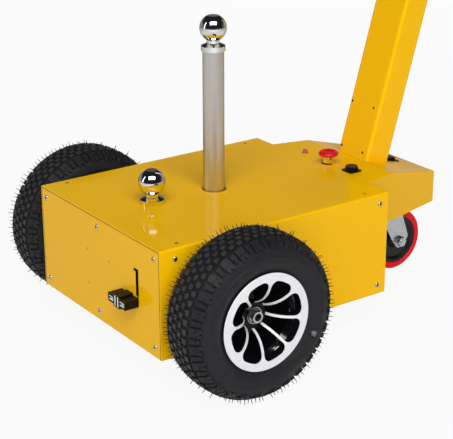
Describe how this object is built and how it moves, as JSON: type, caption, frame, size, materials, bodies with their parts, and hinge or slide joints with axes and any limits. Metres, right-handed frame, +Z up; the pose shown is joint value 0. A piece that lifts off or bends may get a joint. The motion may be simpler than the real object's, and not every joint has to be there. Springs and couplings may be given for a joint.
{
  "type": "electric tow tractor",
  "caption": "Walk-behind electric tow tractor: box body on two driven wheels, rear swivel caster, tow balls on the deck and on a lifting post, leaning control mast with handlebar.",
  "frame": {"origin": "on the ground, midway between the foremost and rearmost points, on the centre plane", "axes": "+X forwards to the front panel, +Y to the vehicle's left, +Z up"},
  "size_m": [0.9164, 0.669, 1.0007],
  "materials": {
    "yellow_paint": "gloss powder coat",
    "chrome": "polished",
    "satin_steel": "satin",
    "zinc_steel": "zinc plated",
    "black_plastic": "matte",
    "grip_rubber": "matte",
    "black_paint": "satin",
    "tyre_rubber": "matte",
    "rim_black": "gloss black",
    "rim_white": "polished",
    "red_plastic": "gloss",
    "red_polyurethane": "satin",
    "caster_black": "satin"
  },
  "bodies": {
    "chassis": {"body_shell": "yellow_paint", "front_panel": "yellow_paint", "rear_panel": "yellow_paint", "belly_plate": "yellow_paint", "tail_housing": "yellow_paint", "tail_floor": "yellow_paint", "battery_pack": "black_plastic", "charge_connector": "black_plastic", "tow_ball_low": "chrome", "post_guide": "zinc_steel", "mast": "yellow_paint", "control_head": "black_plastic", "handlebar": "black_paint", "handlebar_grips": "grip_rubber", "battery_gauge": "black_plastic", "key_switch": "zinc_steel", "direction_switch": "black_plastic", "stop_button_collar": "chrome", "stop_button_head": "red_plastic", "indicator_lamp": "chrome", "charge_socket": "black_plastic", "breaker_button": "black_plastic", "drive_axle": "black_paint", "caster_plate": "zinc_steel"},
    "tow_post": {"tow_post": "satin_steel", "tow_ball_high": "chrome"},
    "wheel_left": {"axle_shaft_left": "zinc_steel", "tyre_left": "tyre_rubber", "rim_left": "rim_black", "rim_face_left": "rim_white", "hub_nut_left": "zinc_steel"},
    "wheel_right": {"axle_shaft_right": "zinc_steel", "tyre_right": "tyre_rubber", "rim_right": "rim_black", "rim_face_right": "rim_white", "hub_nut_right": "zinc_steel"},
    "caster_swivel": {"caster_fork": "zinc_steel", "caster_axle": "zinc_steel"},
    "caster_wheel": {"caster_core": "caster_black", "caster_tread": "red_polyurethane"}
  },
  "joints": [
    {"name": "wheel_left_spin", "type": "hinge", "parent": "chassis", "child": "wheel_left", "pos_m": [0.29622, 0.281, 0.1515], "axis": [0, 1, 0], "continuous": true},
    {"name": "wheel_right_spin", "type": "hinge", "parent": "chassis", "child": "wheel_right", "pos_m": [0.29622, -0.281, 0.1515], "axis": [0, 1, 0], "continuous": true},
    {"name": "post_lift", "type": "slide", "parent": "chassis", "child": "tow_post", "axis": [0, 0, 1], "range_m": [-0.13, 0]},
    {"name": "caster_turn", "type": "hinge", "parent": "chassis", "child": "caster_swivel", "pos_m": [-0.24278, 0, 0.16], "axis": [0, 0, 1], "continuous": true},
    {"name": "caster_roll", "type": "hinge", "parent": "caster_swivel", "child": "caster_wheel", "pos_m": [-0.28278, 0, 0.065], "axis": [0, 1, 0], "continuous": true}
  ]
}
